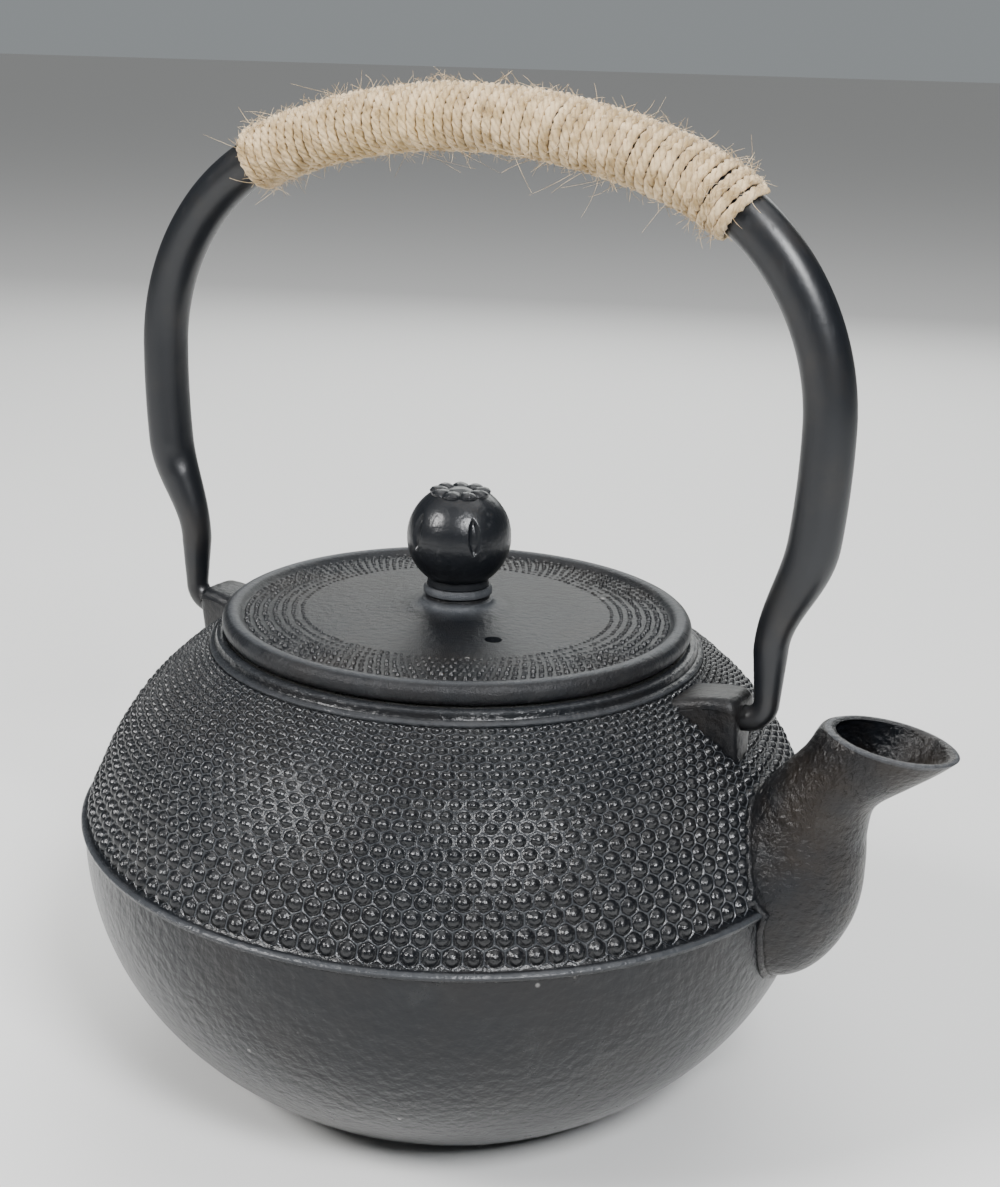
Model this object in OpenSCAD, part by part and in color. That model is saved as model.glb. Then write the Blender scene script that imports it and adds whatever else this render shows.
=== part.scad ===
// Cast iron teapot with a swinging bail handle.
// Frame: origin at the centre of the flat base, +Z up, spout toward +X, millimetres.

/* [Pot body] */
// radius of the sharp ridge between bowl and hobnail shoulder
ridge_r = 82.6; // [72:1:110]
// height of the ridge above the table
ridge_z = 58.5; // [46:0.5:72]
// radius of the flat base
base_r = 44.5; // [30:0.5:58]
// height of the flat top of the collar
collar_z = 99.6; // [92:0.1:125]
// radius of the round filling mouth
mouth_r = 47; // [38:0.5:57]
// width of the ledge in the mouth that carries the basket flange
ledge_w = 3.8; // [3:0.1:6]
// depth of that ledge below the collar top
ledge_t = 0.6; // [0.4:0.1:1.2]
// width of the collar band outside the lid
collar_w = 1.4; // [1:0.1:8]
// wall thickness of the casting
wall_t = 3.2; // [2.4:0.1:5]
// thickness of the bottom of the pot
floor_t = 3.6; // [2.5:0.1:6]

/* [Spout] */
// half width of the spout tube half way up, across the pot
spout_w = 12.2; // [9:0.1:15]
// how far the pouring lip stands out beyond the ridge
spout_out = 30; // [20:0.2:42]
// how far the middle of the pouring lip lies below the collar top
lip_drop = 4.8; // [-6:0.1:12]
// wall thickness of the spout
spout_wall = 2.5; // [1.8:0.1:4]

/* [Lugs and bail] */
// how far the pivot line of the bail lies below the collar top
pivot_drop = 6.6; // [5:0.1:10]
// how far the lug end faces stand out from the middle of the shoulder slope
lug_out = 0.1; // [-4:0.1:8]
// width of a lug at its outer end
lug_w = 11.6; // [9:0.1:20]
// radius of the hooked ends of the bail
pin_r = 2.65; // [1.8:0.05:3.5]
// radial play between hooked end and lug socket
pin_play = 0.1; // [0.02:0.01:0.3]
// outer radius of the bail tube
tube_r = 5.25; // [3.8:0.05:7]
// how far the widest place of the bail stands out beyond the lug faces
bail_out = 14.4; // [8:0.1:20]
// height of the tube centre at the top of the arch above the pivot line
bail_rise = 118.2; // [85:0.5:145]
// radius of the long top arc of the bail
top_arc = 140; // [110:1:220]
// thickness of the twine wrap
wrap_t = 2.35; // [1.5:0.05:4]

/* [Lid and knob] */
// how far the rolled rim of the lid reaches over the basket flange
lid_over = 1; // [0.2:0.1:2]
// gap between the locating ring of the lid and the basket wall
ring_play = 3.6; // [1.5:0.1:6]
// wall of the locating ring of the lid
ring_t = 2.4; // [1.2:0.1:4]
// how far the locating ring of the lid reaches down into the basket
ring_drop = 5; // [1:0.1:8]
// radius of the rolled rim section
bead_r = 2.4; // [1.9:0.1:3]
// height of the small neck under the knob above the collar
neck_h = 10; // [8:0.1:14]
// radius of the knob ball
ball_r = 11.5; // [9:0.1:15]
// radius of the steam vent hole
vent_r = 1.9; // [1:0.1:3]

/* [Infuser basket] */
// play between basket wall and mouth
basket_play = 2.4; // [1:0.1:6]
// depth of the basket below the collar
basket_h = 48; // [36:1:64]
// thickness of the basket sheet
sheet_t = 0.6; // [0.4:0.1:1]

/* [Hidden] */
$fn = 96;
seg = 14;
rim_z = collar_z - ledge_t;
basket_r = mouth_r - basket_play;
flange_r = mouth_r + ledge_w;
lid_r = flange_r + lid_over;
collar_r = lid_r + collar_w;
lid_z = collar_z + bead_r;
ring_r = basket_r - ring_play - ring_t;
ball_z = collar_z + neck_h + ball_r - 0.5;
neck_top = collar_z + neck_h;
pivot_z = collar_z - pivot_drop;
lug_x = (ridge_r + collar_r) / 2 + lug_out;
bail_half = lug_x + bail_out;
bail_top = pivot_z + bail_rise;
wrap_r = tube_r + wrap_t;
pin_end = lug_x - 8;
iron = [0.07, 0.07, 0.08];
steel = [0.75, 0.76, 0.78];
twine = [0.76, 0.62, 0.40];

// point on a cubic curve through control points a b c d
function bz(a, b, c, d, t) =
    pow(1 - t, 3) * a + 3 * pow(1 - t, 2) * t * b + 3 * (1 - t) * t * t * c + pow(t, 3) * d;
function curve(a, b, c, d, n) = [for (i = [0:n]) bz(a, b, c, d, i / n)];
// smooth interpolation through a list of rows, u counted in rows
function row(s, i) = s[max(0, min(len(s) - 1, i))];
function hermite(a, b, c, d, f) =
    b + 0.5 * f * (c - a + f * (2 * a - 5 * b + 4 * c - d + f * (3 * (b - c) + d - a)));
function smooth(s, u) = let (i = min(floor(u), len(s) - 2), f = u - i)
    hermite(row(s, i - 1), row(s, i), row(s, i + 1), row(s, i + 2), f);

// ---- pot body ----
module outer_section() {
    bowl = curve([base_r, 0], [base_r + 16, 9.5], [ridge_r - 0.8, ridge_z - 32],
                 [ridge_r - 0.8, ridge_z - 0.6], seg);
    shoulder = curve([ridge_r - 1.9, ridge_z + 1.6], [ridge_r - 6.8, ridge_z + 14.5],
                     [collar_r + 19, collar_z - 15.5], [collar_r + 1.1, collar_z - 3], seg);
    polygon(concat([[0, 0]], bowl,
        [[ridge_r, ridge_z], [ridge_r, ridge_z + 0.9], [ridge_r - 0.8, ridge_z + 1.3]], shoulder,
        [[collar_r + 0.9, collar_z - 2.4], [collar_r, collar_z - 2.1]],
        [for (a = [0:18:90]) [collar_r - 1.2 + 1.2 * cos(a), collar_z - 1.2 + 1.2 * sin(a)]],
        [[0, collar_z]]));
}
module inner_section() {
    bowl = curve([base_r - 0.2, floor_t], [base_r + 14.4, floor_t + 8.7],
                 [ridge_r - wall_t - 0.9, ridge_z - 30.4],
                 [ridge_r - wall_t - 0.9, ridge_z - 1], seg);
    shoulder = curve([ridge_r - wall_t - 1.2, ridge_z + 1], [ridge_r - wall_t - 6.6, ridge_z + 13.6],
                     [collar_r + 19.2 - wall_t, collar_z - 14.2 - wall_t],
                     [collar_r - 0.9, collar_z - 2.4 - wall_t], seg);
    polygon(concat([[0, floor_t]], bowl, shoulder, [[0, collar_z - 2.4 - wall_t]]));
}
// spout stations: centre x, centre z, direction angle, half depth, half width
function stations() = let (k = spout_w / 12.2, x = ridge_r + 2.4, z = ridge_z,
    h = collar_z - lip_drop - ridge_z - 36.3, o = spout_out - 30) [
    [x - 23, z - 1.5, 0, 17, 15 * k], [x - 15, z - 1.3, 8, 17.5, 15.8 * k],
    [x - 8.4, z + 0.4, 26, 18.8, 15.8 * k], [x - 3.6, z + 6 + h * 0.15, 50, 16.1, 14.2 * k],
    [x - 1.5 + o * 0.2, z + 13.4 + h * 0.4, 69, 13, spout_w],
    [x + 1.1 + o * 0.4, z + 20.4 + h * 0.6, 62, 10.7, 10.7 * k],
    [x + 4.7 + o * 0.6, z + 26.9 + h * 0.8, 57, 9, 9.9 * k],
    [x + 9.5 + o * 0.9, z + 32.2 + h, 66, 10.6, 10 * k],
    [x + 14.6 + o, z + 36.3 + h, 84, 13.2, 10.4 * k]];
function ring(p, off, n) = [for (j = [0:n - 1]) let (a = 360 * j / n, u = (p[3] - off) * cos(a),
    v = (p[4] - off) * sin(a)) [p[0] + u * sin(p[2]), v, p[1] - u * cos(p[2])]];
module loft(off, n, first, last, steps, over) {
    st = stations();
    pr = [for (i = [0:steps]) smooth(st, first + (last - first) * i / steps)];
    e = pr[steps];
    tip = [e[0] + over * cos(e[2]), e[1] + over * sin(e[2]), e[2], e[3], e[4]];
    all = over > 0 ? concat(pr, [tip]) : pr;
    m = len(all);
    pts = [for (p = all) each ring(p, off, n)];
    polyhedron(pts, concat([[for (j = [0:n - 1]) j]],
        [for (i = [0:m - 2]) for (j = [0:n - 1]) each let (a = i * n + j, b = i * n + (j + 1) % n)
            [[a, a + n, b], [b, a + n, b + n]]],
        [[for (j = [n - 1:-1:0]) (m - 1) * n + j]]));
}
module lug_block() {
    top = pivot_z + pin_r + 2.35;
    intersection() {
        translate([0, 0, ridge_z + 12]) linear_extrude(60)
            polygon([[collar_r - 4, -lug_w / 2 - 3.4], [collar_r + 6, -lug_w / 2 - 0.9],
                     [lug_x + 0.7, -lug_w / 2], [lug_x + 0.7, lug_w / 2],
                     [collar_r + 6, lug_w / 2 + 0.9], [collar_r - 4, lug_w / 2 + 3.4]]);
        rotate([90, 0, 0]) translate([0, 0, -20]) linear_extrude(40)
            polygon(concat([[collar_r - 6, ridge_z + 10], [lug_x + 1.2, ridge_z + 20]],
                [for (a = [0:18:90]) [lug_x - 1.6 + 1.6 * cos(a), top - 1.6 + 1.6 * sin(a)]],
                [[collar_r - 6, top]]));
        rotate([90, 0, 90]) translate([0, 0, collar_r - 10]) linear_extrude(40)
            polygon(concat([[-lug_w * 0.33, ridge_z + 14], [lug_w * 0.33, ridge_z + 14]],
                [for (a = [0:18:90]) [lug_w / 2 + 1.6 * cos(a), top - 1.6 + 1.6 * sin(a)]],
                [for (a = [90:18:180]) [1.6 * cos(a) - lug_w / 2, top - 1.6 + 1.6 * sin(a)]]));
    }
}
module pot_body() color(iron) difference() {
    union() {
        difference() {
            union() {
                rotate_extrude($fn = 120) outer_section();
                loft(0, 30, 0.2, 8, 17, 0);
                for (m = [0, 1]) mirror([m, 0, 0]) lug_block();
            }
            rotate_extrude($fn = 120) inner_section();
            translate([0, 0, collar_z - 8]) cylinder(r = mouth_r, h = 20);
            translate([0, 0, rim_z]) cylinder(r = flange_r + 0.3, h = 20);
        }
        for (m = [0, 1]) mirror([m, 0, 0]) translate([pin_end - 3.8, 0, pivot_z])
            rotate([0, 90, 0]) cylinder(r = pin_r + 1.75, h = 6);
    }
    loft(spout_wall, 22, 0, 8, 13, 2);
    for (m = [0, 1]) mirror([m, 0, 0]) translate([pin_end - 0.7, 0, pivot_z]) rotate([0, 90, 0])
        cylinder(r = pin_r + pin_play, h = 20, $fn = 48);
}

// ---- lid ----
module lid() color(iron) difference() {
    rotate_extrude($fn = 120) {
        difference() {
            union() {
                translate([lid_r - bead_r, lid_z]) circle(bead_r, $fn = 32);
                translate([lid_r - bead_r - 1.4, collar_z]) square([1.6, bead_r]);
                polygon(concat([[0, collar_z + 0.3], [lid_r - bead_r - 1, collar_z + 0.3],
                    [lid_r - bead_r - 0.6, lid_z + 0.7], [lid_r * 0.9, lid_z + 0.9],
                    [lid_r * 0.66, lid_z + 1.9]],
                    curve([lid_r * 0.6, lid_z + 2.1], [lid_r * 0.42, lid_z + 2.7],
                          [ball_r * 1.35, lid_z + 3.1], [ball_r * 0.98, lid_z + 4], 6),
                    curve([ball_r * 0.94, lid_z + 4.2], [ball_r * 0.78, lid_z + 4.6],
                          [ball_r * 0.66, lid_z + 4.8], [ball_r * 0.62, neck_top - 1.6], 5),
                    [[ball_r * 0.62, neck_top], [0, neck_top]]));
                // locating ring inside the basket
                translate([ring_r, collar_z - ring_drop]) square([ring_t, ring_drop + 1]);
            }
            polygon([[-1, collar_z - 1], [ring_r, collar_z - 1], [ring_r, collar_z + 0.5],
                     [lid_r * 0.66, lid_z - 0.8], [ball_r * 1.1, lid_z + 0.2], [-1, lid_z + 0.2]]);
        }
    }
    translate([0, 0, collar_z - 2]) cylinder(r = 2.2, h = 30, $fn = 32);
    rotate([0, 0, -40]) translate([23, 0, collar_z - 2]) cylinder(r = vent_r, h = 12, $fn = 32);
}
module lid_knob() color(iron) difference() {
    union() {
        intersection() {
            translate([0, 0, ball_z]) sphere(ball_r);
            translate([0, 0, neck_top]) cylinder(r = 20, h = 1.91 * ball_r - 0.5);
        }
        translate([0, 0, neck_top]) cylinder(r = 5.4, h = 1.4, $fn = 48);
        translate([0, 0, ball_z + 0.82 * ball_r]) {
            cylinder(r = 0.5 * ball_r, h = 0.18 * ball_r, $fn = 48);
            for (i = [0:11]) rotate([0, 0, 30 * i]) translate([0.47 * ball_r, 0, 0])
                cylinder(r = 0.125 * ball_r, h = 0.16 * ball_r, $fn = 24);
        }
    }
    for (i = [0:7]) rotate([0, 0, 45 * i + 20]) translate([ball_r + 0.6, 0, ball_z + 0.12 * ball_r])
        intersection() {
            translate([0, 5.6, 0]) sphere(6.6, $fn = 48);
            translate([0, -5.6, 0]) sphere(6.6, $fn = 48);
        }
    translate([0, 0, neck_top - 1]) cylinder(r = 2, h = 9, $fn = 32);
}
module knob_washer() color(steel) translate([0, 0, lid_z - 0.6]) difference() {
    cylinder(r = 5, h = 0.8, $fn = 48);
    translate([0, 0, -1]) cylinder(r = 2.2, h = 4, $fn = 32);
}
module knob_screw() color(steel) union() {
    translate([0, 0, lid_z - 2.8]) difference() {
        cylinder(r = 3.6, h = 2.2, $fn = 48);
        translate([-0.5, -5, -1]) cube([1, 10, 1.9]);
    }
    translate([0, 0, lid_z - 1]) cylinder(r = 2, h = neck_top + 7 - lid_z + 1, $fn = 32);
}

// ---- bail handle ----
function top_ang() = asin(50 / top_arc);
corner_r = (bail_half - 50) / (1 - 50 / top_arc);
corner_x = 50 - corner_r * 50 / top_arc;
corner_z = bail_top - top_arc + (top_arc - corner_r) * cos(top_ang());
leg_r = 188;
leg_a = 7;
leg_x = bail_half - leg_r + leg_r * cos(leg_a);
leg_z = corner_z - leg_r * sin(leg_a);
hook_r = 4.6;
hook_x = lug_x + 0.7;

// ring section arc in the XZ plane, angle from +X toward +Z
module arc(cx, cz, r, a0, a1, ro, ri) {
    translate([cx, 0, cz]) rotate([90, 0, 0]) rotate([0, 0, a0]) rotate_extrude(angle = a1 - a0)
        translate([r, 0]) difference() {
            circle(ro, $fn = 48);
            if (ri > 0) circle(ri, $fn = 48);
        }
}
module taper(x0, z0, r0, x1, z1, r1) {
    l = sqrt(pow(x1 - x0, 2) + pow(z1 - z0, 2));
    translate([x0, 0, z0]) rotate([0, atan2(x1 - x0, z1 - z0), 0])
        cylinder(r1 = r0, r2 = r1, h = l, $fn = 48);
    joint(x1, z1, r1);
}
module joint(x, z, r) {
    translate([x, 0, z]) sphere(r + 0.06, $fn = 48);
}
module leg() {
    b = 90 - top_ang();
    joint(corner_x + corner_r * cos(b), corner_z + corner_r * sin(b), tube_r);
    arc(corner_x, corner_z, corner_r, 0, b, tube_r, 0);
    joint(corner_x + corner_r, corner_z, tube_r);
    arc(bail_half - leg_r, corner_z, leg_r, -leg_a, 0, tube_r, 0);
    joint(leg_x, leg_z, tube_r);
    taper(leg_x, leg_z, tube_r, hook_x + hook_r + 0.1, pivot_z + 15, 3.5);
    taper(hook_x + hook_r + 0.1, pivot_z + 15, 3.5, hook_x + hook_r, pivot_z + hook_r, pin_r);
    arc(hook_x, pivot_z + hook_r, hook_r, -90, 0, pin_r, 0);
    translate([pin_end, 0, pivot_z]) rotate([0, 90, 0])
        cylinder(r = pin_r - 0.03, h = hook_x - pin_end + 0.3, $fn = 48);
}
module handle_tube() color(iron) union() {
    arc(0, bail_top - top_arc, top_arc, 90 - top_ang(), 90 + top_ang(), tube_r, 0);
    leg();
    mirror([1, 0, 0]) leg();
}
module wrap_join() {
    translate([top_arc * cos(90 - top_ang()), 0, bail_top - top_arc + top_arc * sin(90 - top_ang())])
        rotate([0, 90 + top_ang(), 0]) difference() {
            cylinder(r = wrap_r + 0.1, h = 1.6, center = true, $fn = 48);
            cylinder(r = tube_r + 0.6, h = 3, center = true, $fn = 48);
        }
}
module twine_wrap() color(twine) union() {
    arc(0, bail_top - top_arc, top_arc, 90.16 - top_ang(), 89.84 + top_ang(), wrap_r, tube_r + 0.1);
    wrap_join();
    arc(corner_x, corner_z, corner_r, 57, 89.55 - top_ang(), wrap_r, tube_r + 0.1);
    mirror([1, 0, 0]) {
        wrap_join();
        arc(corner_x, corner_z, corner_r, 64, 89.55 - top_ang(), wrap_r, tube_r + 0.1);
    }
}

// ---- infuser ----
module infuser_rim() color(steel) rotate_extrude() difference() {
    union() {
        translate([basket_r - sheet_t, rim_z]) square([flange_r - basket_r + sheet_t, ledge_t]);
        translate([basket_r - sheet_t, collar_z - 8]) square([sheet_t, 8]);
    }
}
module infuser_wall() color(steel) difference() {
    translate([0, 0, collar_z - basket_h]) cylinder(r = basket_r, h = basket_h - 8);
    translate([0, 0, collar_z - basket_h - 1]) cylinder(r = basket_r - sheet_t, h = basket_h);
    for (k = [0:2]) for (i = [0:13])
        translate([0, 0, collar_z - basket_h + 8 + k * (basket_h - 24) / 2])
            rotate([0, 90, 360 / 14 * (i + 0.5 * (k % 2))]) translate([0, 0, basket_r - 2.5])
                cylinder(r = 2, h = 5, $fn = 16);
}
module infuser_base() color(steel) difference() {
    translate([0, 0, collar_z - basket_h - 0.8]) cylinder(r = basket_r, h = 0.8);
    for (i = [-3:3]) for (j = [-3:3]) if (abs(i + j) < 4)
        translate([10 * (i + j / 2), 8.66 * j, collar_z - basket_h - 2]) cylinder(r = 1.5, h = 4, $fn = 16);
}

pot_body();
lid();
lid_knob();
knob_screw();
knob_washer();
handle_tube();
twine_wrap();
infuser_rim();
infuser_wall();
infuser_base();
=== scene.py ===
import math
import random
from bisect import bisect_right

import bmesh
import bpy
from bpy.props import FloatProperty, FloatVectorProperty, IntProperty, PointerProperty
from mathutils import Matrix, Quaternion, Vector
from mathutils.bvhtree import BVHTree


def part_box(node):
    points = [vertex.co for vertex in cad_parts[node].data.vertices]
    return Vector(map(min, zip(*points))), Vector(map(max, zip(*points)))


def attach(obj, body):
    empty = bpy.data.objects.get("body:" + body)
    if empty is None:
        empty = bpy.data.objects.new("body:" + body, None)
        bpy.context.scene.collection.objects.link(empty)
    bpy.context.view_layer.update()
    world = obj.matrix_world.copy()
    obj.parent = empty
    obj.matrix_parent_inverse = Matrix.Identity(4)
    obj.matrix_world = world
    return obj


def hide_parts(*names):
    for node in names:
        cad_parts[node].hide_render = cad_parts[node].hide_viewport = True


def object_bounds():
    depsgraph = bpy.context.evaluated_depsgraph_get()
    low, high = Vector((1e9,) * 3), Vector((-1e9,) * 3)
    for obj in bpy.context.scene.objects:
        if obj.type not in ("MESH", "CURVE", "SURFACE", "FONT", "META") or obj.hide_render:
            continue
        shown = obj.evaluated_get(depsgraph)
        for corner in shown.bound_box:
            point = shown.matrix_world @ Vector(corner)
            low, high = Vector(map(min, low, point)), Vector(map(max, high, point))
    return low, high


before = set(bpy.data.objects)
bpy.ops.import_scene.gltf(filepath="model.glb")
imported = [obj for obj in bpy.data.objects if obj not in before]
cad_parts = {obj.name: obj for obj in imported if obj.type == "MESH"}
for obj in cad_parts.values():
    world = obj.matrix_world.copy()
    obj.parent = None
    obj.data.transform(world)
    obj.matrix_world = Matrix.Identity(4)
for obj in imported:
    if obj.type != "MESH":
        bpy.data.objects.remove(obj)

bl_info = {
    "name": "Cast Iron Teapot",
    "version": (1, 0, 0),
    "blender": (4, 5, 0),
    "location": "3D View > Sidebar > Teapot",
    "description": "Builds a hobnail cast iron teapot with a twine wrapped bail",
    "category": "Object",
}

MM = 0.001
CAD_BOX = [[float(v) for v in corner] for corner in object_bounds()]
POT_LOW, POT_HIGH = [Vector(v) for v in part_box("pot_body")]
LID_HIGH = Vector(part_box("lid")[1])
KNOB_HIGH = Vector(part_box("lid_knob")[1])

# metres
INNER_FLOOR = 0.0036        # height of the floor inside the pot
COLLAR_WALL = 0.0024        # depth of the collar's throat above the wall under it
SOCKET_RADIUS = 0.00275     # bore of the lugs' sockets
SOCKET_ENDS = (0.0591, 0.075)
BASKET_RADIUS = 0.0446
VENT_RADIUS, VENT_PLACE, VENT_ANGLE = 0.0019, 0.023, -40
TWINE_ENDS = (-0.0561, 0.0622)
# millimetres
SPOUT_BORE_WALL, SPOUT_LIP_THINNER = 2.5, 0.7
LUG_TOP, LUG_ROUND = 98.0, 2.2

# spout stations: centre x, centre z, direction in degrees, half depth, half width, in mm
SPOUT = [
    (62.0, 57.0, 0, 17.0, 15.0), (70.0, 57.2, 8, 17.5, 15.8), (76.6, 58.9, 26, 18.8, 15.8),
    (81.4, 64.5, 50, 16.1, 14.2), (83.5, 71.9, 69, 13.0, 12.2), (86.1, 78.9, 62, 10.7, 10.7),
    (89.7, 85.4, 57, 9.0, 9.9), (94.5, 90.7, 66, 10.6, 10.0), (99.6, 94.8, 84, 13.2, 10.4)]

# camera: place in metres, turn in degrees, lens in mm, shift
CAMERA = {
    "location": (0.19408, -0.32977, 0.22367),
    "rotation": (77.484, -1.452, 30.662),
    "lens": 54.61,
    "shift": (0.02904, -0.11666),
}
# area lights: name, place, aim, (width, height), power, colour
LIGHTS = [
    ("key left", (-0.62, -0.95, 0.95), (0.0, 0.0, 0.07), (0.34, 0.34), 22.0, (1.0, 0.99, 0.98)),
    ("key right", (0.78, -0.60, 0.95), (0.0, 0.0, 0.07), (0.34, 0.34), 24.0, (0.97, 0.98, 1.0)),
    ("top fill", (0.0, 0.25, 1.25), (0.0, 0.0, 0.08), (1.3, 0.9), 9.0, (1.0, 1.0, 1.0)),
    ("back fill", (-0.35, 0.95, 0.6), (0.0, 0.0, 0.1), (0.9, 0.6), 6.0, (0.98, 1.0, 0.98)),
]


# ---------------------------------------------------------------- settings

class PotSizes(bpy.types.PropertyGroup):
    ridge_radius: FloatProperty(
        name="Ridge radius", description="Radius of the sharp ridge between bowl and shoulder",
        default=-POT_LOW.x, unit="LENGTH")
    ridge_height: FloatProperty(
        name="Ridge height", description="Height of the ridge above the table",
        default=0.0585, unit="LENGTH")
    base_radius: FloatProperty(
        name="Base radius", description="Radius of the flat base", default=0.0445, unit="LENGTH")
    collar_height: FloatProperty(
        name="Collar height", description="Height of the collar top",
        default=POT_HIGH.z, unit="LENGTH")
    collar_radius: FloatProperty(
        name="Collar radius", description="Outer radius of the collar", default=0.0532,
        unit="LENGTH")
    mouth_radius: FloatProperty(
        name="Mouth radius", description="Radius of the filling mouth", default=0.047,
        unit="LENGTH")
    wall: FloatProperty(
        name="Wall", description="Wall thickness of the casting", default=0.0032, unit="LENGTH")
    lug_face: FloatProperty(
        name="Lug face", description="Distance of the lug end faces from the axis",
        default=0.0687, unit="LENGTH")
    pivot_height: FloatProperty(
        name="Pivot height", description="Height of the bail pivot line", default=0.093,
        unit="LENGTH")


class HobnailSizes(bpy.types.PropertyGroup):
    per_row: IntProperty(
        name="Nails per row", description="Hobnails round the pot in every row", default=128,
        min=24)
    rows: IntProperty(
        name="Rows", description="Rows of hobnails up the shoulder", default=20, min=4)
    shrink: FloatProperty(
        name="Row shrink", description="Row spacing as a share of that of the row below",
        default=0.951)
    height: FloatProperty(
        name="Nail height", description="Height of the largest hobnails", default=0.00118,
        unit="LENGTH")
    seed: IntProperty(
        name="Seed", description="Seed of the small casting differences", default=7)


class LidSizes(bpy.types.PropertyGroup):
    radius: FloatProperty(
        name="Lid radius", description="Outer radius of the lid", default=LID_HIGH.x,
        unit="LENGTH")
    bead: FloatProperty(
        name="Rim bead", description="Section radius of the rolled rim", default=0.0024,
        unit="LENGTH")
    neck_top: FloatProperty(
        name="Neck top", description="Height of the neck under the knob", default=LID_HIGH.z,
        unit="LENGTH")
    knob_radius: FloatProperty(
        name="Knob radius", description="Radius of the knob ball", default=0.0115,
        unit="LENGTH")
    dots_per_row: IntProperty(
        name="Dots per row", description="Small dots round the lid", default=142)
    dot_rows: IntProperty(name="Dot rows", description="Rows of small dots", default=7)


class BailSizes(bpy.types.PropertyGroup):
    tube_radius: FloatProperty(
        name="Tube radius", description="Radius of the bail tube under the twine",
        default=0.00525, unit="LENGTH")
    turns: IntProperty(
        name="Twine turns", description="Turns of twine round the grip", default=54)
    plies: IntProperty(name="Twine plies", description="Plies twisted in the twine", default=3)
    stray: IntProperty(
        name="Stray fibres", description="Loose fibres on the twine", default=1500)
    seed: IntProperty(name="Seed", description="Seed of the twine's irregularities", default=11)


class TeapotColours(bpy.types.PropertyGroup):
    iron: FloatVectorProperty(
        name="Iron", description="Colour of the blackened casting", subtype="COLOR",
        default=(0.0045, 0.0055, 0.0072))
    # also the colour of the painted highlight on the hobnail borders
    worn: FloatVectorProperty(
        name="Worn iron", description="Colour where the coating is rubbed", subtype="COLOR",
        default=(0.052, 0.056, 0.062))
    rust: FloatVectorProperty(
        name="Warm iron", description="Brownish tint of the casting", subtype="COLOR",
        default=(0.016, 0.0115, 0.008))
    knob: FloatVectorProperty(
        name="Knob", description="Colour of the glossy knob", subtype="COLOR",
        default=(0.006, 0.007, 0.009))
    tube: FloatVectorProperty(
        name="Bail", description="Colour of the bail tube", subtype="COLOR",
        default=(0.0045, 0.0055, 0.0075))
    jute: FloatVectorProperty(
        name="Jute", description="Colour of the twine", subtype="COLOR",
        default=(0.60, 0.455, 0.255))
    floor: FloatVectorProperty(
        name="Floor", description="Colour of the floor", subtype="COLOR",
        default=(0.72, 0.72, 0.71))


# ---------------------------------------------------------------- curves

def angles(n):
    return [2 * math.pi * j / n for j in range(n)]


def loop(n, place):
    """Closed loop of n points: place turns the cosine and sine of an angle into a point."""
    return [Vector(place(math.cos(a), math.sin(a))) for a in angles(n)]


def bezier(a, b, c, d, n):
    """Points of a cubic curve from a to d, drawn towards b and c."""
    out = []
    for i in range(n + 1):
        t = i / n
        u = 1 - t
        out.append(tuple(u ** 3 * a[k] + 3 * u * u * t * b[k] + 3 * u * t * t * c[k]
                         + t ** 3 * d[k] for k in range(2)))
    return out


def smooth_rows(rows, u):
    """Catmull-Rom interpolation through rows of numbers."""
    i = min(int(u), len(rows) - 2)
    f = u - i
    pick = [rows[max(0, min(len(rows) - 1, i + k))] for k in (-1, 0, 1, 2)]
    return [b + 0.5 * f * (c - a + f * (2 * a - 5 * b + 4 * c - d + f * (3 * (b - c) + d - a)))
            for a, b, c, d in zip(*pick)]


def arc_lengths(points):
    lengths = [0.0]
    for a, b in zip(points, points[1:]):
        lengths.append(lengths[-1] + (b - a).length)
    return lengths


def along(points, lengths, l):
    """Point and direction at a length along a line of points."""
    l = max(0.0, min(lengths[-1] - 1e-9, l))
    i = bisect_right(lengths, l)
    f = (l - lengths[i - 1]) / (lengths[i] - lengths[i - 1])
    return points[i - 1].lerp(points[i], f), (points[i] - points[i - 1]).normalized()


# ---------------------------------------------------------------- meshes

def new_mesh(name, verts, faces=(), edges=(), attributes=None):
    """Mesh object in the scene. An attribute is a number or a triple for each point."""
    mesh = bpy.data.meshes.new(name)
    mesh.from_pydata([tuple(v) for v in verts], edges, faces)
    for key, values in (attributes or {}).items():
        if isinstance(values[0], tuple):
            layer = mesh.attributes.new(key, "FLOAT_VECTOR", "POINT")
            layer.data.foreach_set("vector", [v for value in values for v in value])
        else:
            mesh.attributes.new(key, "FLOAT", "POINT").data.foreach_set("value", values)
    mesh.validate()
    mesh.polygons.foreach_set("use_smooth", [True] * len(mesh.polygons))
    obj = bpy.data.objects.new(name, mesh)
    bpy.context.scene.collection.objects.link(obj)
    return obj


def solid(name, verts, faces, worn=None, sharp=None):
    """Closed mesh with its doubles merged and its faces turned outwards."""
    obj = new_mesh(name, verts, faces, attributes={"worn": worn} if worn else None)
    bm = bmesh.new()
    bm.from_mesh(obj.data)
    bmesh.ops.remove_doubles(bm, verts=bm.verts, dist=1e-7)
    bmesh.ops.recalc_face_normals(bm, faces=bm.faces)
    bm.to_mesh(obj.data)
    bm.free()
    if sharp:
        obj.data.set_sharp_from_angle(angle=math.radians(sharp))
    return obj


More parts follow.
